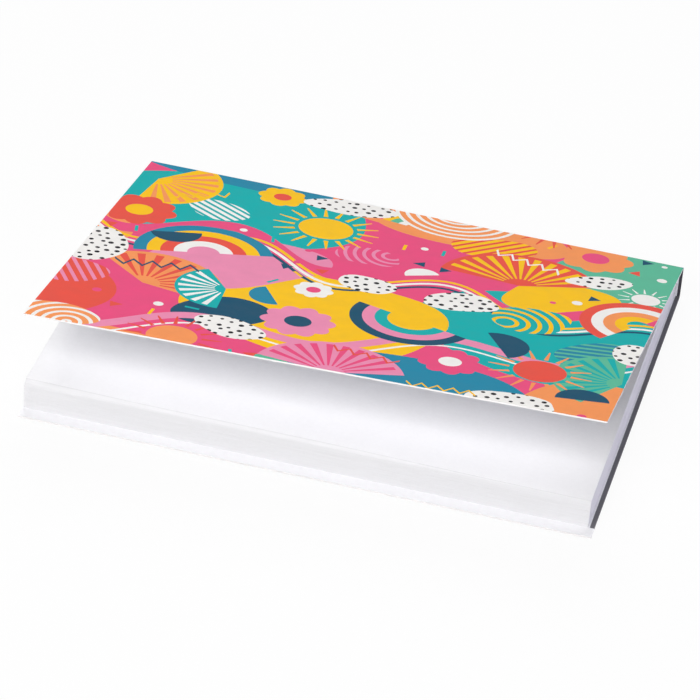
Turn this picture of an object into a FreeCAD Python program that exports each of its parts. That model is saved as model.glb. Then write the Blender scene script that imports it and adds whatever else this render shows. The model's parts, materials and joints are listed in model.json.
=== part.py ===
# A pad of self-stick notes in a folded card cover. It lies on its back cover, and
# the front cover stands a little open.
#
# The origin is at the middle of the footprint, on the surface that the pad lies on.
# +X runs along the spine, +Y from the open edge to the spine, and +Z is up.
# Lengths are in millimetres and angles in degrees.
import FreeCAD, Part
import Sketcher
import math
import os

# Driving sizes, each written once.
SIZES = {
    # the block of notes
    "note_width": 100.0,  # along the glued edge
    "note_depth": 75.0,  # from the open edge to the glued edge
    "block_height": 5.5,  # about fifty notes and the adhesive between them
    "fore_round": 1.4,  # the top notes fan back at the open edge
    "block_shift": -0.45,  # the block is stuck a little left of the middle
    # the cover, one card with a fold under the spine and a crease over it
    "card": 0.3,
    "cover_width": 101.2,
    "front_margin": 2.6,  # card that shows in front of the block
    "closed_height": 6.6,  # over the spine, with the cover shut
    "fold_radius": 0.6,  # outer radius of the fold under the spine
    "front_depth": 78.2,  # the front cover, from the spine to its free edge
    # how the front cover stands at rest
    "open_angle": 11.2,
    "cover_twist": 0.87,  # its right side stands this much higher, its left lower
    # clearances
    "fold_clearance": 0.05,  # between the glued edge and the start of the fold
    "crease_clearance": 0.05,  # between the top of the spine and the front cover
}

# Places that more than one piece uses, worked out from the sizes.
PLACES = {
    "cover_depth": "=front_margin + note_depth + fold_clearance + fold_radius",
    "fore_edge": "=-cover_depth / 2",
    "block_fore": "=fore_edge + front_margin",
    "crease_round": "=card / 2",
    "crease_y": "=cover_depth / 2 - crease_round",
    "crease_z": "=closed_height - crease_round",
    "spine_top": "=closed_height - card - crease_clearance",
}

doc = FreeCAD.newDocument("note_pad")
sheet = doc.addObject("Spreadsheet::Sheet", "sizes")
for row, (alias, value) in enumerate([*SIZES.items(), *PLACES.items()], start=1):
    sheet.set(f"A{row}", alias)
    sheet.set(f"B{row}", str(value))
    sheet.setAlias(f"B{row}", alias)
doc.recompute()

START, END, CENTRE = 1, 2, 3  # the points of an edge in a sketch
ORIGIN = (-1, 1)  # the sketch's own origin


def new_body(label):
    """A piece of the pad, in an object with the same name."""
    body = doc.addObject("PartDesign::Body", label)
    body.Label = label
    return body


def side_sketch(body, name):
    """A sketch on the body's YZ plane. Its first axis is Y and its second is Z."""
    sketch = body.newObject("Sketcher::SketchObject", name)
    plane = next(f for f in body.Origin.OriginFeatures if f.Role == "YZ_Plane")
    sketch.AttachmentSupport = [(plane, "")]
    sketch.MapMode = "FlatFace"
    return sketch


def line(sketch, start, end):
    return sketch.addGeometry(Part.LineSegment(FreeCAD.Vector(*start), FreeCAD.Vector(*end)))


def arc(sketch, centre, radius, start, end):
    """An arc, anticlockwise from the angle start to the angle end."""
    circle = Part.Circle(FreeCAD.Vector(*centre), FreeCAD.Vector(0, 0, 1), radius)
    return sketch.addGeometry(Part.ArcOfCircle(circle, math.radians(start), math.radians(end)))


def constrain(sketch, kind, *where):
    """Adds one constraint for each entry of where."""
    for entry in where:
        sketch.addConstraint(Sketcher.Constraint(kind, *entry))


def measure(sketch, name, formula, kind, *where):
    """A dimension with a name, whose value comes from the sheet."""
    value = float(sheet.evalExpression(formula))
    index = sketch.addConstraint(Sketcher.Constraint(kind, *where, value))
    sketch.renameConstraint(index, name)
    sketch.setExpression(f"Constraints.{name}", formula)


def pad_both_ways(body, sketch, width):
    """The sketch's outline made solid, half of its width on each side of the plane."""
    pad = body.newObject("PartDesign::Pad", f"{body.Label}_pad")
    pad.Profile = sketch
    pad.Midplane = True
    pad.setExpression("Length", width)
    return pad


def build_note_block():
    """The notes as one solid, seen from the side: open edge at Y 0, glued edge behind."""
    body = new_body("note_block")
    sketch = side_sketch(body, "note_block_side")
    depth, height, rounding = SIZES["note_depth"], SIZES["block_height"], SIZES["fore_round"]
    bottom = line(sketch, (0, 0), (depth, 0))
    glued_edge = line(sketch, (depth, 0), (depth, height))
    top = line(sketch, (depth, height), (rounding, height))
    fan = arc(sketch, (rounding, height - rounding), rounding, 90, 180)
    open_edge = line(sketch, (0, height - rounding), (0, 0))

    constrain(sketch, "Horizontal", (bottom,), (top,))
    constrain(sketch, "Vertical", (glued_edge,), (open_edge,))
    constrain(
        sketch,
        "Coincident",
        (bottom, START, *ORIGIN),
        (bottom, END, glued_edge, START),
        (glued_edge, END, top, START),
        (open_edge, END, bottom, START),
    )
    constrain(sketch, "Tangent", (top, END, fan, START), (fan, END, open_edge, START))
    measure(sketch, "depth", "sizes.note_depth", "DistanceX", bottom, START, bottom, END)
    measure(sketch, "height", "sizes.block_height", "DistanceY", glued_edge, START, glued_edge, END)
    measure(sketch, "fan", "sizes.fore_round", "Radius", fan)

    pad_both_ways(body, sketch, "sizes.note_width")
    body.setExpression("Placement.Base.x", "sizes.block_shift")
    body.setExpression("Placement.Base.y", "sizes.block_fore")
    body.setExpression("Placement.Base.z", "sizes.card")
    return body


def build_back_cover():
    """Back panel and spine, one card bent up at the fold. Free edge at Y 0."""
    body = new_body("back_cover")
    sketch = side_sketch(body, "back_cover_side")
    depth, top = float(sheet.get("cover_depth")), float(sheet.get("spine_top"))
    card, fold = SIZES["card"], SIZES["fold_radius"]
    fold_centre = (depth - fold, fold)
    under = line(sketch, (0, 0), (depth - fold, 0))
    fold_outside = arc(sketch, fold_centre, fold, 270, 360)
    spine_outside = line(sketch, (depth, fold), (depth, top))
    spine_edge = line(sketch, (depth, top), (depth - card, top))
    spine_inside = line(sketch, (depth - card, top), (depth - card, fold))
    fold_inside = arc(sketch, fold_centre, fold - card, 270, 360)
    upper = line(sketch, (depth - fold, card), (0, card))
    free_edge = line(sketch, (0, card), (0, 0))

    constrain(sketch, "Horizontal", (under,), (spine_edge,), (upper,))
    constrain(sketch, "Vertical", (spine_outside,), (spine_inside,), (free_edge,))
    constrain(
        sketch,
        "Coincident",
        (under, START, *ORIGIN),
        (spine_outside, END, spine_edge, START),
        (spine_edge, END, spine_inside, START),
        (upper, END, free_edge, START),
        (free_edge, END, under, START),
        (fold_inside, CENTRE, fold_outside, CENTRE),
    )
    constrain(
        sketch,
        "Tangent",
        (under, END, fold_outside, START),
        (fold_outside, END, spine_outside, START),
        (spine_inside, END, fold_inside, END),
        (fold_inside, START, upper, START),
    )
    measure(sketch, "fold", "sizes.fold_radius", "Radius", fold_outside)
    measure(sketch, "card", "sizes.card", "DistanceY", *ORIGIN, free_edge, START)
    measure(sketch, "depth", "sizes.cover_depth", "DistanceX", *ORIGIN, spine_edge, START)
    measure(sketch, "top", "sizes.spine_top", "DistanceY", *ORIGIN, spine_edge, START)

    pad_both_ways(body, sketch, "sizes.cover_width")
    body.setExpression("Placement.Base.y", "sizes.fore_edge")
    return body


def front_cover_side(body, name, x, turn_axis):
    """The front cover's section at one side, drawn shut with the crease's centre at 0.

    x is the formula of the section's place along the spine. The section is turned about
    the crease by the cover's twist: turn_axis 1 lowers its free edge and -1 raises it.
    """
    sketch = side_sketch(body, name)
    half_card = SIZES["card"] / 2
    reach = SIZES["front_depth"] - half_card
    outside = line(sketch, (0, half_card), (-reach, half_card))
    free_edge = line(sketch, (-reach, half_card), (-reach, -half_card))
    inside = line(sketch, (-reach, -half_card), (0, -half_card))
    crease = arc(sketch, (0, 0), half_card, -90, 90)

    constrain(sketch, "Horizontal", (outside,))
    constrain(sketch, "Vertical", (free_edge,))
    constrain(
        sketch,
        "Coincident",
        (outside, END, free_edge, START),
        (free_edge, END, inside, START),
        (crease, CENTRE, *ORIGIN),
    )
    constrain(sketch, "Tangent", (inside, END, crease, START), (crease, END, outside, START))
    measure(sketch, "round", "sizes.crease_round", "Radius", crease)
    measure(sketch, "card", "sizes.card", "DistanceY", free_edge, END, free_edge, START)
    reach_formula = "sizes.front_depth - sizes.crease_round"
    measure(sketch, "reach", reach_formula, "DistanceX", free_edge, START, *ORIGIN)

    turn = FreeCAD.Rotation(FreeCAD.Vector(0, 0, turn_axis), SIZES["cover_twist"])
    sketch.AttachmentOffset = FreeCAD.Placement(FreeCAD.Vector(), turn)
    sketch.setExpression("AttachmentOffset.Base.z", x)
    sketch.setExpression("AttachmentOffset.Rotation.Angle", "sizes.cover_twist")
    return sketch


def build_front_cover():
    """The front cover, a flat card given a slight twist, turned open about the crease."""
    body = new_body("front_cover")
    left = front_cover_side(body, "front_cover_left", "-sizes.cover_width / 2", 1)
    right = front_cover_side(body, "front_cover_right", "sizes.cover_width / 2", -1)
    panel = body.newObject("PartDesign::AdditiveLoft", "front_cover_panel")
    panel.Profile = left
    panel.Sections = [right]
    panel.Ruled = True

    opened = FreeCAD.Rotation(FreeCAD.Vector(-1, 0, 0), SIZES["open_angle"])
    body.Placement = FreeCAD.Placement(FreeCAD.Vector(), opened)
    body.setExpression("Placement.Rotation.Angle", "sizes.open_angle")
    body.setExpression("Placement.Base.y", "sizes.crease_y")
    body.setExpression("Placement.Base.z", "sizes.crease_z")
    return body


pieces = [build_back_cover(), build_note_block(), build_front_cover()]
doc.recompute()

for item in doc.Objects:
    if "Invalid" in item.State or "Error" in item.State:
        raise RuntimeError(f"{item.Label} did not build: {item.State}")
for piece in pieces:
    if piece.Shape.isNull() or not piece.Shape.isValid():
        raise RuntimeError(f"{piece.Label} has no valid shape")

os.makedirs("parts", exist_ok=True)
for piece in pieces:
    piece.Shape.exportStep(f"parts/{piece.Label}.step")
    box = piece.Shape.BoundBox
    print(f"{piece.Label}: {piece.Shape.Volume:.1f} mm3, {box.XLength:.2f} x {box.YLength:.2f} x {box.ZLength:.2f} mm")
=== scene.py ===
# A pad of self-stick notes in a folded, printed card cover, dressed for the render.
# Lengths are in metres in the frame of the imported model. The print is drawn in millimetres.
import json
import bpy
import numpy as np
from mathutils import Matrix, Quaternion, Vector
from mathutils.geometry import delaunay_2d_cdt


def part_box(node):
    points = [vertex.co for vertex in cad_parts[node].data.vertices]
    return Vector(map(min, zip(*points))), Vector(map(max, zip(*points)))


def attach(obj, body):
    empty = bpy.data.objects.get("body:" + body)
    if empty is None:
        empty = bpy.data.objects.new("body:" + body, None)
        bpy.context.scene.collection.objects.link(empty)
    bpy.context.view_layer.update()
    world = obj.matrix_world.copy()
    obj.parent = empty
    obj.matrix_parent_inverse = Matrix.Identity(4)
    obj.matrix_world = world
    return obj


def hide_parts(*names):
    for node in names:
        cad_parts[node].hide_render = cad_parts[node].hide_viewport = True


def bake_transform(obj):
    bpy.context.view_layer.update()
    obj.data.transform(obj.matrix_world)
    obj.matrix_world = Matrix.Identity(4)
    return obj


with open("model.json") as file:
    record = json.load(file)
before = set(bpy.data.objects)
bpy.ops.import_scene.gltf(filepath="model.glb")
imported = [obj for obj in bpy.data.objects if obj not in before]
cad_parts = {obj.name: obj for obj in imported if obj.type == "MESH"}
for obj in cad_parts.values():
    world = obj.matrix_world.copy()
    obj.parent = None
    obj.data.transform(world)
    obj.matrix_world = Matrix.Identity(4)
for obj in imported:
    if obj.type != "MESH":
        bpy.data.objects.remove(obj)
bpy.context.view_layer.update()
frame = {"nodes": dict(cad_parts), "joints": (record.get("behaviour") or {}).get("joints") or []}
scene = bpy.context.scene
scene.view_settings.view_transform = "Standard"
mm = 0.001
print("frame loaded:", ", ".join(sorted(frame["nodes"])))


# The camera, set to the photograph's viewing angle.
cameraView = {
    "azimuth": 12.03,  # degrees from straight in front, towards the right side
    "elevation": 34.12,
    "roll": 4.8925,
    "distance": 0.744756,
    "aside": 0.0015782,  # how far the camera stands left of the line through the origin
    "above": -0.0009033,  # and how far under it
    "lens": 215.784,
}


def towards(azimuth, elevation):
    # The direction of a place seen from the pad: azimuth 0 is straight in front, and 90 its right side.
    turn, rise = np.radians([azimuth, elevation])
    return Vector((np.sin(turn) * np.cos(rise), -np.cos(turn) * np.cos(rise), np.sin(rise)))


def placeCamera(view):
    # The camera stands at distance along the direction given by azimuth and elevation,
    # looks back along it, and is rolled about it. It is then moved within its own picture plane.
    back = towards(view["azimuth"], view["elevation"])
    facing = back.to_track_quat("Z", "Y") @ Quaternion((0, 0, 1), np.radians(view["roll"]))
    data = bpy.data.cameras.new("camera")
    data.lens = view["lens"]
    data.clip_start = 0.05
    camera = bpy.data.objects.new("camera", data)
    scene.collection.objects.link(camera)
    camera.rotation_mode = "QUATERNION"
    camera.rotation_quaternion = facing
    camera.location = back * view["distance"] - facing @ Vector((view["aside"], view["above"], 0))
    scene.camera = camera


placeCamera(cameraView)


# Node materials.

def newMaterial(name):
    # A material with its Principled shader, returned as material, node maker, linker and shader.
    material = bpy.data.materials.new(name)
    material.use_nodes = True
    tree = material.node_tree
    shader = tree.nodes["Principled BSDF"]

    def add(kind, settings=None, **values):
        made = tree.nodes.new(kind)
        for key, value in (settings or {}).items():
            setattr(made, key, value)
        for key, value in values.items():
            made.inputs[key.replace("_", " ")].default_value = value
        return made

    return material, add, tree.links.new, shader


def linear(red, green, blue):
    # The linear colour, with alpha, of a screen colour from 0 to 255.
    screen = np.array([red, green, blue]) / 255
    light = np.where(screen <= 0.04045, screen / 12.92, ((screen + 0.055) / 1.055) ** 2.4)
    return (*light.tolist(), 1.0)


# The stage: a floor, the world and the lamps.
stage = {
    "floorSize": 4.0,
    "floorDrop": 0.05 * mm,  # keeps the floor clear of the underside of the card
    "floorColour": (235, 235, 236),
    "floorGlow": 0.93,  # the share of the floor that the camera sees as plain white
    "worldLevel": 0.025,  # the light from all round, where 1 would light white card fully
    "worldTint": (236, 238, 255),
}
lamps = {  # azimuth, elevation, distance, width and height, light level at the pad, tint
    "key": (-8, 40, 0.9, (0.95, 0.45), 1.135, (255, 254, 253)),
    "back": (-168, 50, 0.9, (0.5, 0.5), 0.52, (255, 255, 255)),
    "lowRight": (90, 3, 0.9, (0.6, 0.05), 0.55, (234, 231, 255)),
}


def seenPlainly(tree):
    # An output that is 1 for what the eye or anything shiny sees, and 0 for light on its way.
    rays = tree.nodes.new("ShaderNodeLightPath")
    seen = rays.outputs["Is Camera Ray"]
    for kind in ("Is Glossy Ray", "Is Transmission Ray"):
        either = tree.nodes.new("ShaderNodeMath")
        either.operation = "MAXIMUM"
        tree.links.new(seen, either.inputs[0])
        tree.links.new(rays.outputs[kind], either.inputs[1])
        seen = either.outputs[0]
    return seen


def buildFloor(settings):
    half = settings["floorSize"] / 2
    corners = [(-half, -half), (half, -half), (half, half), (-half, half)]
    mesh = bpy.data.meshes.new("floor")
    mesh.from_pydata([(x, y, -settings["floorDrop"]) for x, y in corners], [], [(0, 1, 2, 3)])
    floor = bpy.data.objects.new("floor", mesh)
    scene.collection.objects.link(floor)
    material, add, link, shader = newMaterial("paleFloor")
    shader.inputs["Base Color"].default_value = linear(*settings["floorColour"])
    shader.inputs["Roughness"].default_value = 0.9
    shader.inputs["Specular IOR Level"].default_value = 0.0
    # The eye, and anything shiny, sees most of the floor as plain white. The rest takes shadows.
    share = add("ShaderNodeMath", {"operation": "MULTIPLY"})
    share.inputs[1].default_value = settings["floorGlow"]
    link(seenPlainly(material.node_tree), share.inputs[0])
    glow = add("ShaderNodeEmission", Color=(1, 1, 1, 1), Strength=1.0)
    mix = add("ShaderNodeMixShader")
    link(share.outputs[0], mix.inputs[0])
    link(shader.outputs[0], mix.inputs[1])
    link(glow.outputs[0], mix.inputs[2])
    output = material.node_tree.nodes["Material Output"]
    link(mix.outputs[0], output.inputs["Surface"])
    mesh.materials.append(material)


def buildWorld(settings):
    # White where it is seen, and a low even light on everything else.
    world = bpy.data.worlds.new("studio")
    world.use_nodes = True
    scene.world = world
    tree = world.node_tree
    ambient = tree.nodes["Background"]
    ambient.inputs["Color"].default_value = linear(*settings["worldTint"])
    ambient.inputs["Strength"].default_value = settings["worldLevel"]
    white = tree.nodes.new("ShaderNodeBackground")
    white.inputs["Color"].default_value = (1, 1, 1, 1)
    mix = tree.nodes.new("ShaderNodeMixShader")
    tree.links.new(seenPlainly(tree), mix.inputs[0])
    tree.links.new(ambient.outputs[0], mix.inputs[1])
    tree.links.new(white.outputs[0], mix.inputs[2])
    tree.links.new(mix.outputs[0], tree.nodes["World Output"].inputs["Surface"])


def buildLamp(name, azimuth, elevation, distance, size, level, tint):
    # A soft panel that faces the pad. Its power is worked out from the level wanted there:
    # a panel of power P gives a white card square to it, at distance d, the level P / (pi d)^2.
    data = bpy.data.lights.new(name, "AREA")
    data.shape = "RECTANGLE"
    data.size, data.size_y = size
    data.color = linear(*tint)[:3]
    place = towards(azimuth, elevation) * distance
    data.energy = level * (np.pi * distance) ** 2
    lamp = bpy.data.objects.new(name, data)
    scene.collection.objects.link(lamp)
    lamp.location = place
    lamp.rotation_mode = "QUATERNION"
    lamp.rotation_quaternion = place.to_track_quat("Z", "Y")


buildFloor(stage)
buildWorld(stage)
for name, settings in lamps.items():
    buildLamp(name, *settings)
print("camera, floor and", len(lamps), "lamps placed")


# The print: fields of colour and simple shapes, laid over each other like cut paper.
# A motif is a closed outline in millimetres, x along the spine and y up towards the crease.
inks = {
    "pink": (236, 80, 130),
    "lilac": (238, 144, 180),
    "teal": (4, 174, 174),
    "lagoon": (30, 134, 166),
    "orange": (249, 154, 92),
    "coral": (234, 84, 70),
    "yellow": (254, 199, 26),
    "mint": (94, 187, 154),
    "petrol": (6, 74, 102),
    "white": (248, 246, 243),
    "black": (24, 20, 26),
}
inkNames = list(inks)
fields = []  # the large fields of colour, which lie under the motifs of every tile
motifs = []  # ink, outline and the number of the motif that the outline is kept within
taken = []  # circles, as x, y and radius, that the paper chips keep clear of


def lay(ink, outline, within=None):
    # Lays one motif over the others and returns its number.
    number = len(motifs)
    parent = number if within is None else within
    motifs.append((inkNames.index(ink), np.asarray(outline, float), parent))
    return number


def turned(points, x, y, turn):
    # The points turned anticlockwise by turn degrees about 0, 0 and then moved to x, y.
    cos, sin = np.cos(np.radians(turn)), np.sin(np.radians(turn))
    return np.asarray(points) @ np.array([[cos, sin], [-sin, cos]]) + (x, y)


def disc(x, y, radius, steps=36):
    around = np.linspace(0, 2 * np.pi, steps, endpoint=False)
    return np.stack([x + radius * np.cos(around), y + radius * np.sin(around)], 1)


def bar(x, y, length, width, turn):
    corners = np.array([[-1, -1], [1, -1], [1, 1], [-1, 1]]) * (length / 2, width / 2)
    return turned(corners, x, y, turn)


def pebble(x, y, width, height, turn, seed, steps=72):
    # An ellipse whose radius swells and shrinks with three slow waves around it.
    random = np.random.default_rng(seed)
    around = np.linspace(0, 2 * np.pi, steps, endpoint=False)
    radius = np.ones(steps)
    for count in (2, 3, 4):
        swell = random.uniform(0.4, 1) * 0.16 / count
        radius += swell * np.cos(count * around + random.uniform(0, 2 * np.pi))
    outline = np.stack([width / 2 * radius * np.cos(around), height / 2 * radius * np.sin(around)], 1)
    return turned(outline, x, y, turn)


def blossom(x, y, radius, lobes, turn, depth=0.16):
    # A circle with rounded lobes: the radius falls by depth between each two of them.
    around = np.linspace(0, 2 * np.pi, lobes * 10, endpoint=False)
    reach = radius * (1 - depth * (1 - np.abs(np.cos(around * lobes / 2))))
    return turned(np.stack([reach * np.cos(around), reach * np.sin(around)], 1), x, y, turn)


def sector(x, y, inner, outer, start, end):
    # The part of a ring, or of a disc where inner is 0, between two angles in degrees.
    around = np.radians(np.linspace(start, end, max(4, int(abs(end - start) / 5))))
    rim = np.stack([np.cos(around), np.sin(around)], 1)
    return np.concatenate([outer * rim, inner * rim[::-1] if inner else np.zeros((1, 2))]) + (x, y)


def wave(x, y, length, height, swings, width, turn):
    # A ribbon along a sine curve: each side stands off the curve by half the width.
    along = np.linspace(-0.5, 0.5, int(30 * swings))
    angle = 2 * np.pi * swings * along
    middle = np.stack([along * length, height * np.sin(angle)], 1)
    slope = 2 * np.pi * swings * height / length * np.cos(angle)
    offset = np.stack([-slope, np.ones_like(slope)], 1) / np.sqrt(1 + slope**2)[:, None] * width / 2
    return turned(np.concatenate([middle - offset, (middle + offset)[::-1]]), x, y, turn)


def zigzag(x, y, length, height, teeth, width, turn):
    along = np.linspace(-0.5, 0.5, teeth + 1) * length
    middle = np.stack([along, height / 2 * (-1.0) ** np.arange(teeth + 1)], 1)
    return turned(np.concatenate([middle - (0, width / 2), (middle + (0, width / 2))[::-1]]), x, y, turn)


def fan(ground, rib, x, y, radius, turn, ribs=9, spread=150):
    # A ribbed half shell.
    lay(ground, sector(x, y, 0, radius, turn - spread / 2, turn + spread / 2))
    for middle in np.linspace(turn - spread / 2, turn + spread / 2, ribs + 2)[1:-1]:
        half = spread / ribs * 0.2
        lay(rib, sector(x, y, radius * 0.22, radius * 0.93, middle - half, middle + half))
    taken.append((*turned([[radius / 2, 0]], x, y, turn)[0], radius * 0.85))


def sun(ground, ray, x, y, radius, rays, turn):
    # A disc in a ring of tapered rays.
    spike = radius * np.array([[1.16, -0.085], [1.95, -0.03], [1.95, 0.03], [1.16, 0.085]])
    for angle in turn + np.arange(rays) * 360 / rays:
        lay(ray, turned(spike, x, y, angle))
    lay(ground, disc(x, y, radius))
    taken.append((x, y, radius * 1.95))


def rainbow(colours, x, y, outer, band, turn):
    # Half rings, one within the other.
    for number, colour in enumerate(colours):
        lay(colour, sector(x, y, outer - (number + 1) * band, outer - number * band, turn, turn + 180))
    taken.append((x, y, outer))


def speckled(x, y, width, height, turn, seed, pitch=2.1, size=0.44):
    # A white pebble with black spots, which stay within it.
    patch = lay("white", pebble(x, y, width, height, turn, seed))
    random = np.random.default_rng(seed + 100)
    reach = int(width / pitch) + 3
    column, row = np.meshgrid(np.arange(-reach, reach + 1), np.arange(-reach, reach + 1))
    spots = np.stack([(column + 0.5 * (row % 2)).ravel() * pitch, row.ravel() * pitch * 0.87], 1)
    spots += random.uniform(-0.4, 0.4, spots.shape)
    near = (np.abs(spots) < (width / 2 + 0.3, height / 2 + 0.3)).all(axis=1)
    for spotX, spotY in turned(spots[near], x, y, turn):
        lay("black", disc(spotX, spotY, size * random.uniform(0.7, 1.2), 10), patch)
    taken.append((x, y, width / 2 + 1))


def striped(ground, stripe, x, y, width, height, turn, seed, pitch, lean):
    # A pebble crossed by even stripes, which stay within it.
    patch = lay(ground, pebble(x, y, width, height, turn, seed))
    reach = width / 2 + 2
    for offset in np.arange(-reach, reach, pitch):
        middle = turned([[0, offset]], x, y, lean)[0]
        lay(stripe, bar(*middle, 2 * reach, pitch * 0.42, lean), patch)
    taken.append((x, y, width / 2 + 1))


def rippled(ground, ripple, x, y, width, height, turn, seed, pitch, startX, startY):
    # A pebble with rings that spread over it from a point, and stay within it.
    patch = lay(ground, pebble(x, y, width, height, turn, seed))
    reach = width / 2 + np.hypot(startX, startY)
    for radius in np.arange(reach, pitch * 0.4, -pitch):
        lay(ripple, disc(x + startX, y + startY, radius, 56), patch)
        lay(ground, disc(x + startX, y + startY, radius - pitch * 0.4, 56), patch)
    taken.append((x, y, width / 2 + 1))


tileHeight = 81.0
paperChips = {  # small chips that fill the open places
    "tries": 900,
    "clear": 1.5,  # mm that a chip keeps from all that is taken
    "radius": 1.5,  # mm that a chip itself takes
    "inks": ("white", "petrol", "yellow", "pink", "coral", "teal"),
    "seed": 8,
}


def drawPrint():
    # One tile of the print, as wide as the cover and as high as tileHeight, down from the crease.
    for ink, x, y, width, height, turn, seed in (
        ("teal", -31, -15, 52, 34, 12, 3),
        ("orange", 12, -4, 36, 17, -4, 5),
        ("teal", 36, -46, 46, 44, -30, 7),
        ("yellow", -5, -56, 46, 36, 20, 9),
        ("coral", -50, -64, 22, 26, 0, 11),
        ("mint", 46, -10, 34, 30, 10, 13),
        ("lilac", -24, -40, 34, 22, 30, 15),
        ("lagoon", 17, -76, 42, 20, 0, 17),
        ("orange", 50, -76, 30, 28, 0, 19),
        ("orange", -51, -36, 14, 17, 0, 21),
        ("yellow", 33, -28, 22, 15, 20, 23),
        ("petrol", -20, -62, 17, 13, 30, 25),
    ):
        lay(ink, pebble(x, y, width, height, turn, seed))
    fields.extend(motifs)
    motifs.clear()
    lay("pink", wave(0, -31, 120, 5.5, 3.2, 4.0, -4))
    for number, ink in enumerate(("yellow", "white", "petrol")):
        lay(ink, wave(4, -34.6 - number * 1.7, 120, 5.5, 3.2, 0.8, -4))
    lay("lilac", wave(8, -62, 110, 4, 2.6, 2.6, 14))
    lay("white", wave(9, -65.2, 110, 4, 2.6, 0.6, 14))
    striped("yellow", "coral", 17, -9.5, 16, 9, 15, 41, 1.7, 50)
    striped("white", "teal", -33, -17, 13, 8, -15, 42, 1.5, -35)
    striped("lagoon", "mint", 44, -50, 15, 11, 40, 43, 1.7, 10)
    striped("coral", "lilac", -50, -56, 15, 11, 10, 44, 1.7, -60)
    rippled("teal", "yellow", 30, -40, 15, 11, 20, 45, 2.0, -4, -3)
    rippled("orange", "white", -46, -75, 15, 9, 0, 46, 1.8, 3, -3)
    rippled("pink", "lilac", -3, -25, 12, 8, -10, 47, 1.7, 4, 2)
    fan("orange", "coral", -36, -56, 14, 62)
    fan("coral", "yellow", 25, -25, 15, 100, 11)
    fan("lilac", "pink", 3, -79, 13, 95, 10)
    fan("yellow", "orange", -47, -8, 12, -20)
    fan("mint", "teal", 50, -61, 12, 170)
    fan("teal", "white", -22, -52, 9, 200, 8)
    sun("yellow", "yellow", -13, -16, 5.0, 18, 4)
    sun("coral", "orange", 36, -62, 4.6, 16, 0)
    sun("orange", "coral", -25, -76, 4.4, 16, 9)
    sun("white", "white", 47, -20, 2.6, 14, 0)
    rainbow(["lagoon", "yellow", "coral", "white"], -30, -38, 12.5, 2.4, 20)
    rainbow(["petrol", "lilac", "teal", "yellow"], 11, -50, 11, 2.2, 160)
    rainbow(["coral", "white", "orange", "yellow"], 48, -33, 10.5, 2.1, 60)
    rainbow(["pink", "yellow", "mint", "white"], 1, -7, 7.5, 1.6, -10)
    for ink, heart, x, y, radius, lobes, turn in (
        ("coral", "yellow", -46, -24, 7.0, 9, 0), ("lilac", "petrol", -7, -60, 6.6, 10, 10),
        ("orange", "pink", 35, -4.5, 7.0, 8, 5), ("pink", "white", 21, -65, 5.6, 9, 3),
        ("yellow", "coral", -24, -5, 4.6, 8, 0), ("white", "pink", -8, -45, 3.6, 8, 0),
    ):
        lay(ink, blossom(x, y, radius, lobes, turn))
        lay(heart, disc(x, y, radius * 0.36))
        taken.append((x, y, radius))
    for x, y, width, height, turn, seed in (
        (-11, -3.5, 16, 8, 10, 31), (-49, -43, 13, 15, 0, 32), (17, -38, 14, 8, 15, 33),
        (-17, -68, 13, 8, -20, 34), (50, -47, 9, 9, 0, 35), (34, -77, 16, 7, 5, 36),
        (0, -38, 11, 7, -15, 37), (38, -16, 12, 6, 25, 38),
    ):
        speckled(x, y, width, height, turn, seed)
    for ink, x, y, radius, turn in (
        ("petrol", -37, -31, 4.6, 200), ("petrol", 27, -54, 5.5, -60), ("lagoon", -14, -51, 4, 120),
        ("petrol", 45, -71, 4.6, 10), ("white", 8, -29, 3.2, 30),
    ):
        lay(ink, sector(x, y, 0, radius, turn, turn + 180))
        taken.append((x, y, radius))
    for ink, x, y, length, height, teeth, width, turn in (
        ("petrol", -36, -47, 15, 2.4, 9, 0.8, 12), ("white", 24, -13, 14, 2.2, 9, 0.7, -18),
        ("yellow", -38, -12, 12, 2.0, 8, 0.7, 30), ("coral", 7, -69, 12, 2.0, 8, 0.7, -8),
        ("yellow", 22, -77, 12, 1.8, 9, 0.6, 4),
    ):
        lay(ink, zigzag(x, y, length, height, teeth, width, turn))
        taken.append((x, y, length / 2))
    random = np.random.default_rng(paperChips["seed"])
    chips = 0
    for _ in range(paperChips["tries"]):
        x, y = random.uniform(-49, 49), random.uniform(-79, 0)
        gaps = [np.hypot(x - otherX, y - otherY) - radius for otherX, otherY, radius in taken]
        if min(gaps) < paperChips["clear"]:
            continue
        ink = paperChips["inks"][chips % len(paperChips["inks"])]
        shape = chips % 3
        if shape == 0:
            lay(ink, disc(x, y, random.uniform(0.5, 1.0), 20))
        elif shape == 1:
            lay(ink, turned([[-1.2, -0.9], [1.2, -0.9], [0, 1.3]], x, y, random.uniform(0, 360)))
        else:
            lay(ink, bar(x, y, 2.6, 0.6, random.uniform(0, 180)))
        taken.append((x, y, paperChips["radius"]))
        chips += 1


drawPrint()
print("print drawn:", len(fields), "fields and", len(motifs), "motifs")


# The cover: one card, cut into a back piece and a front piece just under its crease.
coverCard = {
    "foldRadius": 0.6 * mm,  # outside of the fold under the spine
    "creaseRadius": 0.42 * mm,  # middle of the card over the crease
    "seamDrop": 0.7 * mm,  # the cut is this far below the crease
    "gridPitch": 5.0,  # mm between the lines that divide the flat parts
    "bendSteps": 16,  # steps across each bend
    "sharpAngle": 32,  # degrees, above which an edge of the mesh is shaded as an edge
    "paintedShadeFrom": 0.27 * mm,  # the painted shade on the grey margin begins this far from the block
    "paintedShadeSpineFrom": 0.5 * mm,  # and this far from it up the spine, where the painted shade is darker
    "paintedShadeOver": 1.0 * mm,  # the painted shade runs this far over the crease
    "bendReach": 0.42 * mm,  # the crease turns over this much of the spine and of the front panel
}
backLow, backHigh = (np.array(corner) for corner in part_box("back_cover"))
blockLow, blockHigh = (np.array(corner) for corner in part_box("note_block"))
card = blockLow[2]  # the block lies on the card, so its underside is one card up
hinge = np.array(frame["joints"][0]["pos_m"])
halfWidth = (backHigh[0] - backLow[0]) / 2
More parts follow.
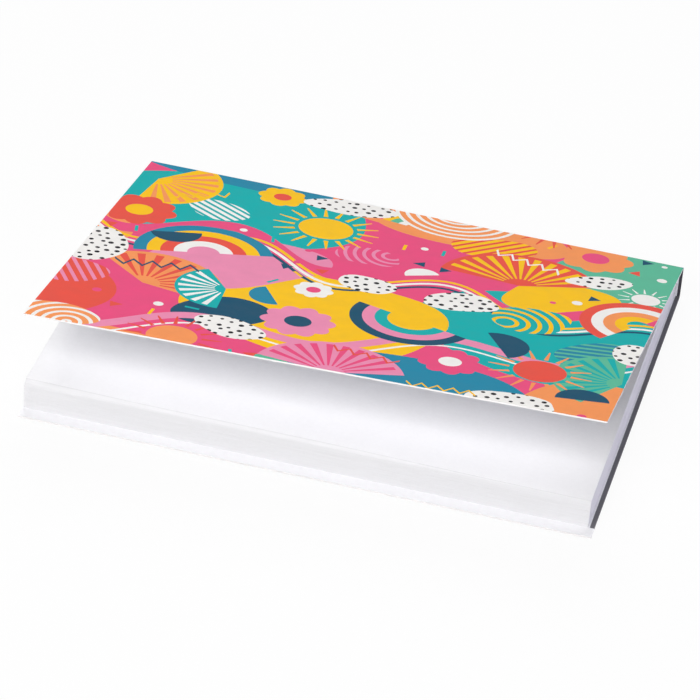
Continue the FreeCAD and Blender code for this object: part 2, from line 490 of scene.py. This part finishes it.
tileShift = halfWidth / mm


def readPanel():
    # How far the front cover reaches from its hinge, and how far open it stands at each side.
    # Its free edge is the part furthest from the hinge, and two corners of it lie at each side.
    mesh = frame["nodes"]["front_cover"].data
    places = np.empty(len(mesh.vertices) * 3)
    mesh.vertices.foreach_get("co", places)
    places = places.reshape(-1, 3)
    away = places[:, 1:] - hinge[1:]
    reach = np.hypot(away[:, 0], away[:, 1])
    edge = reach > reach.max() - card / 2
    angle = np.arctan2(away[:, 1], -away[:, 0])
    left = angle[edge & (places[:, 0] < 0)]
    right = angle[edge & (places[:, 0] > 0)]
    alongMiddle = reach.max() * np.cos(np.ptp(left) / 2)
    return alongMiddle, (left.min() + left.max()) / 2, (right.min() + right.max()) / 2


frontReach, openLeft, openRight = readPanel()
openMiddle = (openLeft + openRight) / 2
foldMiddle = coverCard["foldRadius"] - card / 2
foldRun = foldMiddle * np.pi / 2
backRun = backHigh[1] - coverCard["foldRadius"] - backLow[1]
spineRun = hinge[2] - coverCard["foldRadius"]
creaseAt = backRun + foldRun + spineRun
openDegrees = np.degrees([openLeft, openRight])
print("cover stands open {:.2f} degrees at its left and {:.2f} at its right".format(*openDegrees))


def bendCard(x, run, side):
    # Where a place of the flat card lies once the card is bent. run is measured along the card
    # from the free edge of the back panel, and side is 1 on its outside and -1 on its inside.
    # The card heads back, turns a quarter circle at the fold, runs up the spine, turns again
    # at the crease by what the opening leaves of a right angle, and runs on along the front panel.
    # The surface stands off the card's middle by half its thickness, square to the heading.
    opening = openMiddle + (openRight - openLeft) / 2 * x / halfWidth
    turn = np.pi / 2 - opening
    radius = coverCard["creaseRadius"]
    tangent = radius * np.tan(turn / 2)
    folded = np.clip((run - backRun) / foldRun, 0, 1) * np.pi / 2
    creased = np.clip((run - creaseAt + tangent) / (2 * tangent), 0, 1) * turn
    upSpine = np.clip(run - backRun - foldRun, 0, spineRun - tangent)
    onFront = np.maximum(run - creaseAt - tangent, 0)
    y = backLow[1] + np.minimum(run, backRun) + foldMiddle * np.sin(folded)
    y = y - radius * (1 - np.cos(creased)) - np.cos(opening) * onFront
    z = card / 2 + foldMiddle * (1 - np.cos(folded)) + upSpine
    z = z + radius * np.sin(creased) + np.sin(opening) * onFront
    heading = folded + creased
    offset = side * card / 2
    return np.stack([x, y + offset * np.sin(heading), z - offset * np.cos(heading)], 1)


def tiledMotifs(low, high):
    # The fields and then the motifs of all tiles that reach into low..high, where y is 0 at the
    # crease. Tiles that follow each other down the card are shifted sideways by half their width.
    chosen = []
    wide = halfWidth / mm
    for layer in (fields, motifs):
        for step, shift in ((-1, -tileShift), (-1, tileShift), (0, 0), (1, -tileShift), (1, tileShift)):
            numbers = {}
            for number, (ink, outline, within) in enumerate(layer):
                placed = outline + (shift, step * tileHeight)
                least, most = placed.min(axis=0), placed.max(axis=0)
                if (most > (-wide, low)).all() and (least < (wide, high)).all():
                    numbers[number] = len(chosen) + 1
                    chosen.append((ink, placed, numbers.get(within, numbers[number])))
    return chosen


def divide(outline, lines, outlines):
    # Cuts the region inside outline into triangles along the lines and outlines given.
    # Returns the points, the triangles, which input points each point is, and which of the
    # outlines, numbered from 1, each triangle lies in. All triangles run anticlockwise.
    points, edges, faces = [], [], []
    for ring in [outline, *outlines]:
        x, y = ring[:, 0], ring[:, 1]
        area = np.sum(x * np.roll(y, -1) - y * np.roll(x, -1))
        numbers = range(len(points), len(points) + len(ring))
        faces.append(list(numbers) if area > 0 else list(numbers)[::-1])
        points.extend(ring.tolist())
    for ends in lines:
        edges.append((len(points), len(points) + 1))
        points.extend(ends)
    flat = [Vector(point) for point in points]
    places, _, triangles, sources, _, owners = delaunay_2d_cdt(flat, edges, faces, 1, 1e-5, True)
    counts = np.array([len(owner) for owner in owners])
    covers = np.zeros((len(triangles), len(faces)), bool)
    owned = np.repeat(np.arange(len(triangles)), counts)
    covers[owned, np.concatenate([np.array(owner, int) for owner in owners])] = True
    keep = covers[:, 0]
    triangles = np.array(triangles)[keep]
    used, numbers = np.unique(triangles, return_inverse=True)
    places = np.array([tuple(place) for place in places])[used]
    return places, numbers.reshape(-1, 3), [sources[point] for point in used], covers[keep]


def gridLines(lows, highs, bends):
    # Lines across the card at an even pitch, and closer ones over the bends.
    pitch = coverCard["gridPitch"]
    across = np.arange(lows[0] + pitch, highs[0] - pitch / 2, pitch)
    along = np.arange(lows[1] + pitch, highs[1] - pitch / 2, pitch)
    along = np.concatenate([along] + [np.linspace(*bend, coverCard["bendSteps"] + 1) for bend in bends])
    along = along[(along > lows[1]) & (along < highs[1])]
    lines = [[(x, lows[1]), (x, highs[1])] for x in across.tolist()]
    return lines + [[(lows[0], y), (highs[0], y)] for y in along.tolist()]


def rimOf(triangles):
    # The closed ring of points round the triangles, anticlockwise: the edges of one triangle only.
    edges = np.concatenate([triangles[:, [0, 1]], triangles[:, [1, 2]], triangles[:, [2, 0]]])
    known = {tuple(edge) for edge in edges.tolist()}
    following = dict(edge for edge in known if edge[::-1] not in known)
    ring = [min(following)]
    while following[ring[-1]] != ring[0]:
        ring.append(following[ring[-1]])
    return np.array(ring)


def buildCard(name, low, high):
    # One piece of the card, from low to high, where y is 0 at the crease, falls along the front
    # panel and rises down the spine and over the back. The outside is divided along the print,
    # the inside along the plain grid, and a cut edge joins them.
    wide = halfWidth / mm
    turn = np.pi / 2 - openMiddle
    tangent = coverCard["creaseRadius"] * np.tan(turn / 2) / mm
    # the close lines reach past the width that turns with the cover
    crease = max(tangent, (coverCard["bendReach"] + card / 2) / mm)
    bends = [(-crease, crease), (spineRun / mm, (spineRun + foldRun) / mm)]
    lines = gridLines((-wide, low), (wide, high), bends)
    # the bounds of the painted shade beside the block, which these lines follow
    marginX = (blockHigh[0] + coverCard["paintedShadeFrom"]) / mm
    spineX = (blockHigh[0] + coverCard["paintedShadeSpineFrom"]) / mm
    marginY = (creaseAt - (blockLow[1] - backLow[1])) / mm
    spineY = (spineRun + foldRun / 2) / mm
    lines += [[(x, low), (x, high)] for x in (marginX, spineX)]
    lines += [[(-wide, y), (wide, y)] for y in (spineY, marginY)]
    corners = np.array([(-wide, low), (wide, low), (wide, high), (-wide, high)])
    chosen = tiledMotifs(low, high)
    places, triangles, _, covers = divide(corners, lines, [outline for _, outline, _ in chosen])
    within = np.array([0] + [parent for _, _, parent in chosen])
    covers &= covers[:, within]
    top = covers.shape[1] - 1 - np.argmax(covers[:, ::-1], axis=1)
    ink = np.array([inkNames.index("pink")] + [colour for colour, _, _ in chosen])[top]
    ring = rimOf(triangles)
    innerPlaces, innerTriangles, sources, _ = divide(places[ring], lines, [])
    innerOf = np.full(len(ring), -1)
    for number, source in enumerate(sources):
        for original in source:
            if original < len(ring):
                innerOf[original] = number

    # y falls as the run rises, so anticlockwise on the drawing is outwards on the bent card
    def bent(flat, side):
        return bendCard(flat[:, 0] * mm, creaseAt - flat[:, 1] * mm, side)

    points = np.concatenate([bent(places, 1), bent(innerPlaces, -1)])
    flat = np.concatenate([places, innerPlaces])
    inner = innerOf + len(places)
    following = np.roll(np.arange(len(ring)), -1)
    rim = np.stack([ring[following], ring, inner, inner[following]], 1)
    inside = innerTriangles[:, ::-1] + len(places)
    faces = triangles.tolist() + inside.tolist() + rim.tolist()
    mesh = bpy.data.meshes.new(name)
    mesh.from_pydata(points.tolist(), [], faces)
    for material in (printMaterial, *(papers[use] for use in cardPapers)):
        mesh.materials.append(material)
    kind = np.repeat([0, 1, 2], [len(triangles), len(inside), len(rim)])
    # painted shade: beside the block's right side the inside of the card, and its cut edge there, are
    # painted dark grey as the block's shadow on the back's margin, and darker still as the shade in the gap
    # at the spine's end
    insideMiddle = innerPlaces[innerTriangles].mean(axis=1)
    rimMiddle = (places[ring] + places[ring[following]]) / 2
    middleX, middleY = np.concatenate([insideMiddle, rimMiddle]).T
    paintedShadeOnBack = (middleX > marginX) & (middleY > spineY) & (middleY < marginY)
    overCrease = -coverCard["paintedShadeOver"] / mm
    paintedShadeOnSpine = (middleX > spineX) & (middleY > overCrease) & (middleY < spineY)
    kind[len(triangles):][paintedShadeOnBack] = 3
    kind[len(triangles):][paintedShadeOnSpine] = 4
    mesh.polygons.foreach_set("material_index", kind.astype(np.int32))

    corner = np.concatenate([triangles.ravel(), inside.ravel(), rim.ravel()])
    flatMap = mesh.uv_layers.new(name="flatCard")
    flatMap.data.foreach_set("uv", (flat[corner] * mm).ravel().astype(np.float32))
    setBakeMap(mesh, flat[corner], len(triangles) * 3, len(inside) * 3, len(rim))
    colours = np.array([linear(*inks[inkName]) for inkName in inkNames])
    white = np.tile(colours[inkNames.index("white")], (len(corner) - len(ink) * 3, 1))
    attribute = mesh.color_attributes.new("ink", "FLOAT_COLOR", "CORNER")
    attribute.data.foreach_set("color", np.concatenate([np.repeat(colours[ink], 3, axis=0), white]).ravel())
    mesh.shade_smooth()
    mesh.set_sharp_from_angle(angle=np.radians(coverCard["sharpAngle"]))
    piece = bpy.data.objects.new(name, mesh)
    scene.collection.objects.link(piece)
    print(f"{name}: {len(mesh.polygons)} faces, {len(chosen)} motifs")
    return piece


def setBakeMap(mesh, flat, outerCorners, innerCorners, rimFaces):
    # A second map, laid out to be baked: the printed side fills most of the square, the plain
    # side is squeezed into the rest, and the cut edge is a strip along the top.
    low, high = flat.min(axis=0), flat.max(axis=0)
    share = (flat - low) / (high - low)
    margin, printed, plain = 0.004, 0.78, 0.95
    across = margin + share[:, 0] * (1 - 2 * margin)
    up = margin + share[:, 1] * (printed - 2 * margin)
    inner = slice(outerCorners, outerCorners + innerCorners)
    up[inner] = printed + margin + share[inner, 1] * (plain - printed - 2 * margin)
    start = outerCorners + innerCorners
    along = np.arange(rimFaces)[:, None] + np.array([1, 0, 0, 1])
    across[start:] = (margin + along / rimFaces * (1 - 2 * margin)).ravel()
    up[start:] = np.tile([1 - margin, 1 - margin, plain + margin, plain + margin], rimFaces)
    bakeMap = mesh.uv_layers.new(name="OFBake")
    bakeMap.data.foreach_set("uv", np.stack([across, up], 1).ravel().astype(np.float32))


printLook = {
    "toneScale": 260.0,
    "toneRange": (0.955, 1.03),  # how much darker and lighter the ink gets
    "roughness": (0.38, 0.5),
    "specular": 0.04,
    "crackReach": (0.12 * mm, 0.34 * mm),  # from the crease: where the flecks thin out and end
    "crackLift": 0.62,  # how far closeness to the crease raises the noise
    "crackScale": 2600.0,
    "crackFrom": (1.1, 1.22),  # the raised noise that bares the card
    "crackShare": 0.8,  # how bare the card gets
    "bareCard": (238, 236, 233),
    "toothScale": 5200.0,
    "toothStrength": 0.12,
}


def spread(add, low, high):
    # Spreads the usual reach of a noise, 0.3 to 0.7, over low to high.
    return add("ShaderNodeMapRange", From_Min=0.3, From_Max=0.7, To_Min=low, To_Max=high)


def makePrintMaterial(look):
    # Offset print on coated card: the ink of each face, a slightly uneven tone, a fine tooth,
    # and flecks of bare card where the crease has cracked the ink.
    material, add, link, shader = newMaterial("printedCard")
    ink = add("ShaderNodeAttribute", {"attribute_name": "ink"})
    flat = add("ShaderNodeUVMap", {"uv_map": "flatCard"})
    tone = add("ShaderNodeTexNoise", Scale=look["toneScale"], Detail=4.0, Roughness=0.6)
    link(flat.outputs[0], tone.inputs["Vector"])
    level = spread(add, *look["toneRange"])
    link(tone.outputs["Fac"], level.inputs["Value"])
    uneven = add("ShaderNodeVectorMath", {"operation": "SCALE"})
    link(ink.outputs["Color"], uneven.inputs[0])
    link(level.outputs["Result"], uneven.inputs["Scale"])

    fromCrease = add("ShaderNodeSeparateXYZ")
    link(flat.outputs[0], fromCrease.inputs[0])
    distance = add("ShaderNodeMath", {"operation": "ABSOLUTE"})
    link(fromCrease.outputs["Y"], distance.inputs[0])
    full, none = look["crackReach"]
    near = add("ShaderNodeMapRange", From_Min=full, From_Max=none, To_Min=look["crackLift"], To_Max=0.0)
    link(distance.outputs[0], near.inputs["Value"])
    cracks = add("ShaderNodeTexNoise", Scale=look["crackScale"], Detail=3.0, Roughness=0.7)
    link(flat.outputs[0], cracks.inputs["Vector"])
    both = add("ShaderNodeMath", {"operation": "ADD"})
    link(near.outputs["Result"], both.inputs[0])
    link(cracks.outputs["Fac"], both.inputs[1])
    start, end = look["crackFrom"]
    bare = add("ShaderNodeMapRange", From_Min=start, From_Max=end, To_Min=0.0, To_Max=look["crackShare"])
    link(both.outputs[0], bare.inputs["Value"])
    worn = add("ShaderNodeMix", {"data_type": "RGBA"})
    link(bare.outputs["Result"], worn.inputs[0])
    link(uneven.outputs[0], worn.inputs[6])
    worn.inputs[7].default_value = linear(*look["bareCard"])
    link(worn.outputs[2], shader.inputs["Base Color"])

    tooth = add("ShaderNodeTexNoise", Scale=look["toothScale"], Detail=3.0, Roughness=0.6)
    link(flat.outputs[0], tooth.inputs["Vector"])
    gloss = spread(add, *look["roughness"])
    link(tone.outputs["Fac"], gloss.inputs["Value"])
    link(gloss.outputs["Result"], shader.inputs["Roughness"])
    shader.inputs["Specular IOR Level"].default_value = look["specular"]
    bump = add("ShaderNodeBump", Strength=look["toothStrength"], Distance=0.02 * mm)
    link(tooth.outputs["Fac"], bump.inputs["Height"])
    link(bump.outputs[0], shader.inputs["Normal"])
    return material


paperLooks = {  # colour, unevenness, roughness, specular, scale and stretch of the fibres, bump strength
    "whiteCard": ((247, 247, 250), 0.03, 0.62, 0.25, 900.0, (1, 1, 1), 0.1),
    "cutCardEdge": ((232, 231, 230), 0.05, 0.9, 0.05, 1200.0, (1, 1, 3), 0.1),
    # painted shade: the block's shadow on the card's right margin, and the deeper shade in the gap at the
    # spine's end
    "paintedShadeMargin": ((110, 110, 114), 0.06, 0.7, 0.1, 900.0, (1, 1, 1), 0.1),
    "paintedShadeSpineEnd": ((76, 75, 80), 0.06, 0.7, 0.1, 900.0, (1, 1, 1), 0.1),
    # painted shade: the fanned notes are a darker copy of the note paper, which dims the rounded top of the
    # open edge where it faces the lamps
    "fannedNotesPaintedShade": ((226, 226, 228), 0.03, 0.9, 0.05, 90.0, (1, 1, 90), 0.2),
    "notePaper": ((244, 244, 246), 0.03, 0.88, 0.1, 1500.0, (1, 1, 1), 0.15),
    "noteEdges": ((223, 223, 225), 0.05, 0.92, 0.05, 90.0, (1, 1, 90), 0.2),
}
cardPapers = ("whiteCard", "cutCardEdge", "paintedShadeMargin", "paintedShadeSpineEnd")  # slots 1 to 4 of the cover; the last two are painted shade
blockPapers = ("notePaper", "noteEdges", "fannedNotesPaintedShade")  # slots 0 to 2 of the block


def makePaperMaterial(name, colour, unevenness, roughness, specular, scale, stretch, bumpStrength):
    # Paper or board: a pale tone that varies by unevenness between fibres, which stretch draws out.
    material, add, link, shader = newMaterial(name)
    where = add("ShaderNodeTexCoord")
    mapping = add("ShaderNodeMapping", Scale=stretch)
    link(where.outputs["Object"], mapping.inputs["Vector"])
    fibres = add("ShaderNodeTexNoise", Scale=scale, Detail=5.0, Roughness=0.65)
    link(mapping.outputs[0], fibres.inputs["Vector"])
    tone = spread(add, 1 - unevenness, 1.0)
    link(fibres.outputs["Fac"], tone.inputs["Value"])
    shade = add("ShaderNodeVectorMath", {"operation": "SCALE"})
    shade.inputs[0].default_value = linear(*colour)[:3]
    link(tone.outputs["Result"], shade.inputs["Scale"])
    link(shade.outputs[0], shader.inputs["Base Color"])
    matt = spread(add, roughness - 0.08, roughness + 0.05)
    link(fibres.outputs["Fac"], matt.inputs["Value"])
    link(matt.outputs["Result"], shader.inputs["Roughness"])
    shader.inputs["Specular IOR Level"].default_value = specular
    bump = add("ShaderNodeBump", Strength=bumpStrength, Distance=0.03 * mm)
    link(fibres.outputs["Fac"], bump.inputs["Height"])
    link(bump.outputs[0], shader.inputs["Normal"])
    return material


printMaterial = makePrintMaterial(printLook)
papers = {name: makePaperMaterial(name, *look) for name, look in paperLooks.items()}

seam = coverCard["seamDrop"] / mm
backPiece = buildCard("coverBack", seam, creaseAt / mm)
frontPiece = buildCard("coverFront", -frontReach / mm, seam)


# The block: a stack of thin notes, drawn as one skin that follows the edge of every sheet.
noteBlock = {
    "sheets": 50,
    # how far the top notes fan back over their open edge: most at its left end, least at its right
    "roundAt": (-1.0, -0.6, 0.1, 0.8),  # places along that edge, from -1 at its left end to 1 at its right
    "foreRound": (1.2 * mm, 0.75 * mm, 0.75 * mm, 0.12 * mm),
    "fanDepth": (0.5 * mm, 0.8 * mm, 0.8 * mm, 1.3 * mm),  # how far down the notes' faces show there, in the painted shade of their darker paper
    "fannedWhole": 0.6,  # above this share of that depth no cut edge shows, and below it every other one
    "topEdgeFrom": 0.4,  # the top note shows its own cut edge from this share of the way to the right
    "lift": 0.07 * mm,  # the gap under the top note, at the right end of its open edge
    "scatter": 0.022 * mm,  # how unevenly the sheets are stacked
    "groove": 0.03 * mm,  # how deep the skin dips between two sheets
    "edgeSpan": (0.14, 0.86),  # the part of a sheet's height over which its edge stands straight
    "waver": 0.006 * mm,  # how straight a sheet is cut
    "topSag": 0.05 * mm,  # the top note isn't quite flat
    "columns": 40,
    "rows": 30,
    "sharpAngle": 40,
    "seed": 14,
}


def buildBlock(settings):
    # The skin is a function of a place on the unit square and a height. Each sheet gives three
    # heights: the groove under it, and the lower and upper corner of its edge. At a height the
    # square is stretched to the block's outline, less the groove or the sheet's own scatter, and
    # its fore edge follows a quarter circle near the top. Two grids close the bottom and the top.
    low, high = (np.array(corner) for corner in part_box("note_block"))
    random = np.random.default_rng(settings["seed"])
    across = np.linspace(-1, 1, settings["columns"] + 1)
    along = np.linspace(-1, 1, settings["rows"] + 1)
    gridX, gridY = (axis.ravel() for axis in np.meshgrid(across, along))
    wide, deep = len(across), len(along)
    numbers = np.arange(wide * deep).reshape(deep, wide)
    ring = np.concatenate([numbers[0, :-1], numbers[:-1, -1], numbers[-1, :0:-1], numbers[:0:-1, 0]])

    sheets, pitch = settings["sheets"], (high[2] - low[2]) / settings["sheets"]
    within = np.array([0.0, *settings["edgeSpan"]])
    heights = low[2] + pitch * (np.arange(sheets)[:, None] + within).ravel()
    inset = np.tile([settings["groove"], 0, 0], sheets)
    shift = np.repeat(random.uniform(-1, 1, (sheets, 2)) * settings["scatter"], 3, axis=0)
    shift[::3] = 0
    heights, inset = np.append(heights[1:], high[2]), np.append(inset[1:], 0)
    lift = np.zeros(len(heights))
    lift[-3] = settings["lift"]  # the groove under the top note
    shift = np.concatenate([shift[1:], [[0, 0]]])

    middle = (low + high) / 2
    half = (high - low) / 2 - settings["scatter"] - settings["waver"]
    roundAt = settings["roundAt"]

    def rightShare(x):
        # 0 up to the third place of roundAt, and 1 from the fourth on.
        return np.clip((x - roundAt[2]) / (roundAt[3] - roundAt[2]), 0, 1)

    def outlineAt(x, y, row):
        # The place of each point of the unit square at each height, as rows of points.
        rounding = np.interp(x, roundAt, settings["foreRound"])
        over = np.clip(heights[row] - (high[2] - rounding), 0, rounding * 0.995)
        dip = inset[row] * (1 - over / rounding)
        start = middle[1] - half[1] + rounding - np.sqrt(rounding**2 - over**2)
        start = start + dip + lift[row] * rightShare(x)
        placeX = middle[0] + x * (half[0] - dip) + shift[row, 0]
        return placeX, start + (y + 1) / 2 * (middle[1] + half[1] - dip - start) + shift[row, 1]

    rows = np.arange(len(heights))[:, None]
    ringX, ringY = outlineAt(gridX[ring][None, :], gridY[ring][None, :], rows)
    cut = random.normal(0, settings["waver"] / 3, ringX.shape)
    ringX, ringY = ringX + cut * gridX[ring], ringY + cut * gridY[ring]
    ringZ = np.repeat(heights[:, None], len(ring), axis=1)
    walls = np.stack([ringX, ringY, ringZ], 2)

    bottomX, bottomY = outlineAt(gridX, gridY, 0)
    bottom = np.stack([bottomX, bottomY, np.full_like(gridX, low[2])], 1)
    topX, topY = outlineAt(gridX, gridY, len(heights) - 1)
    sag = (1 - gridX**2) * (1 - gridY**2) * (0.6 + 0.4 * np.sin(3.1 * gridX + 1) * np.cos(2.3 * gridY))
    top = np.stack([topX, topY, high[2] - settings["topSag"] * sag], 1)
    bottom[ring, :2], top[ring] = walls[0, :, :2], walls[-1]

    # rings of points between the two grids, the last of which is the rim of the top grid
    count = len(ring)
    first = len(bottom)
    levels = first + np.arange(len(heights) - 1)[:, None] * count + np.arange(count)
    topStart = first + (len(heights) - 1) * count
    levels = np.concatenate([ring[None, :], levels, (topStart + ring)[None, :]])
    after = np.roll(levels, -1, axis=1)
    sides = np.stack([levels[:-1], after[:-1], after[1:], levels[1:]], 2).reshape(-1, 4)
    cells = np.stack([numbers[:-1, :-1], numbers[:-1, 1:], numbers[1:, 1:], numbers[1:, :-1]], 2)
    cells = cells.reshape(-1, 4)
    faces = np.concatenate([cells[:, ::-1], sides, cells + topStart])
    points = np.concatenate([bottom, walls[:-1].reshape(-1, 3), top])
    mesh = bpy.data.meshes.new("noteBlock")
    mesh.from_pydata(points.tolist(), [], faces.tolist())
    for use in blockPapers:
        mesh.materials.append(papers[use])
    kind = np.repeat([0, 1, 0], [len(cells), len(sides), len(cells)])
    # at the top of the open edge the notes' faces show between their cut edges, less and less downwards, in
    # a darker copy of the note paper that is painted shade on the rounding, and the top note shows its own
    # cut edge at the right
    faceMiddle = points[faces].mean(axis=1)
    faceX = (faceMiddle[:, 0] - middle[0]) / half[0]
    openSide = (kind == 1) & (faceMiddle[:, 1] < low[1] + max(settings["foreRound"]))
    depth = (high[2] - faceMiddle[:, 2]) / np.interp(faceX, roundAt, settings["fanDepth"])
    sheet = np.floor((faceMiddle[:, 2] - low[2]) / pitch).astype(int)
    kind[openSide & (depth < 1) & ((depth < settings["fannedWhole"]) | (sheet % 2 == 0))] = 2
    kind[openSide & (sheet == sheets - 1) & (rightShare(faceX) > settings["topEdgeFrom"])] = 1
    mesh.polygons.foreach_set("material_index", kind.astype(np.int32))
    mesh.shade_smooth()
    mesh.set_sharp_from_angle(angle=np.radians(settings["sharpAngle"]))
    block = bpy.data.objects.new("noteBlock", mesh)
    scene.collection.objects.link(block)
    print(f"noteBlock: {len(mesh.polygons)} faces")
    return block


blockPiece = buildBlock(noteBlock)

# What each piece stands for, and what it moves with.
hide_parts("back_cover")
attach(backPiece, "pad")
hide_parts("note_block")
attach(blockPiece, "pad")
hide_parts("front_cover")
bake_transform(frontPiece)
print("pieces placed")
